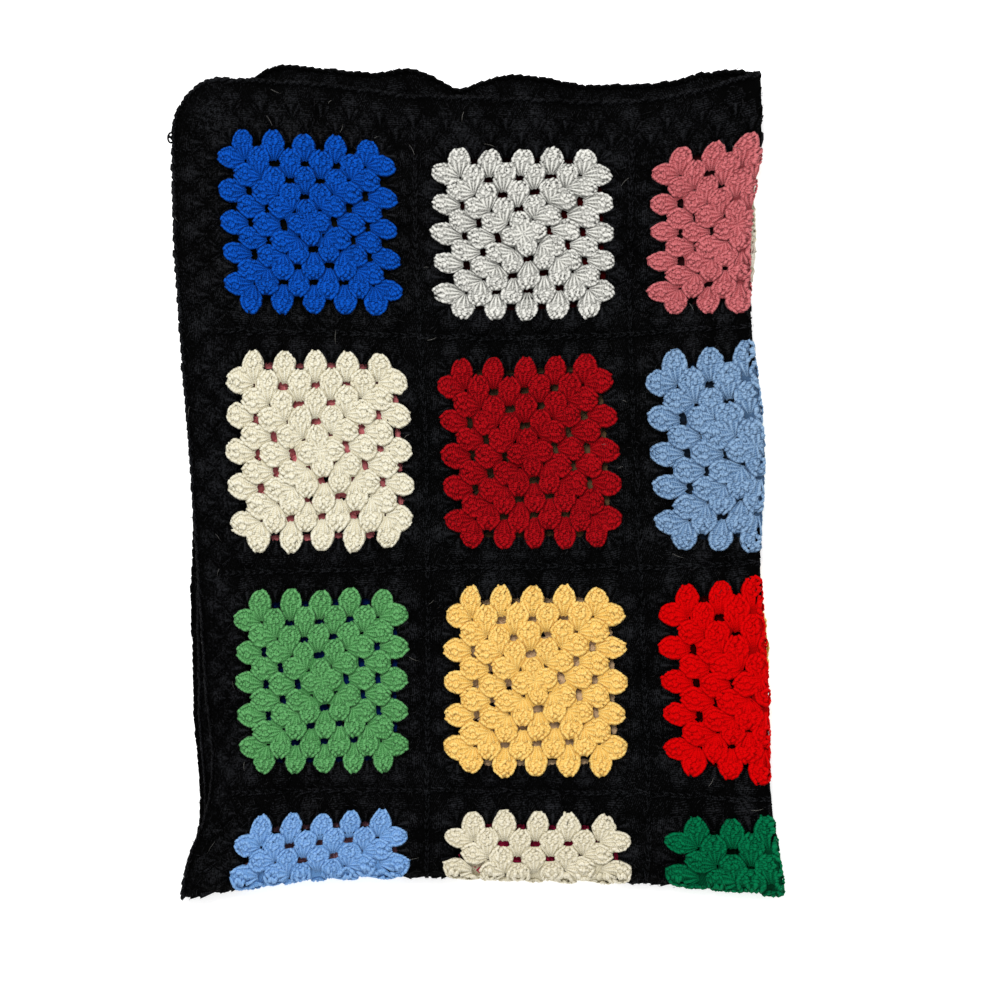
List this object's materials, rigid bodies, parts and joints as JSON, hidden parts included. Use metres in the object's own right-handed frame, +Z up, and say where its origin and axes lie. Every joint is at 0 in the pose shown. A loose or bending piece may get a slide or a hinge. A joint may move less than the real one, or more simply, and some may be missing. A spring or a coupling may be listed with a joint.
{
  "type": "granny square blanket",
  "caption": "Crocheted granny square blanket: bright squares framed in black with a black border, folded in quarters.",
  "frame": {"origin": "under the middle of the folded stack, on the surface it lies on", "axes": "+Z up through the layers, +X across the stack towards the side fold, +Y along the stack away from the bottom fold towards the open top edges"},
  "size_m": [0.4631, 0.629, 0.0237],
  "materials": {
    "black_yarn": "black yarn, matt and slightly fuzzy",
    "royal_blue_yarn": "royal blue yarn",
    "pale_grey_yarn": "pale grey heather yarn",
    "dusty_rose_yarn": "dusty rose yarn",
    "cream_yarn": "cream yarn",
    "dark_red_yarn": "dark red yarn",
    "light_blue_yarn": "light blue yarn",
    "leaf_green_yarn": "leaf green yarn",
    "golden_yellow_yarn": "golden yellow yarn",
    "bright_red_yarn": "bright red yarn",
    "sky_blue_yarn": "sky blue yarn",
    "off_white_yarn": "off-white yarn",
    "emerald_green_yarn": "emerald green yarn, a little fuzzier than the others",
    "raspberry_yarn": "raspberry yarn of a hidden square",
    "tan_yarn": "tan yarn of hidden squares",
    "mauve_yarn": "mauve yarn of hidden squares",
    "olive_yarn": "dark olive yarn of a hidden square"
  },
  "bodies": {
    "root": {"blanket": "black_yarn"}
  },
  "joints": []
}
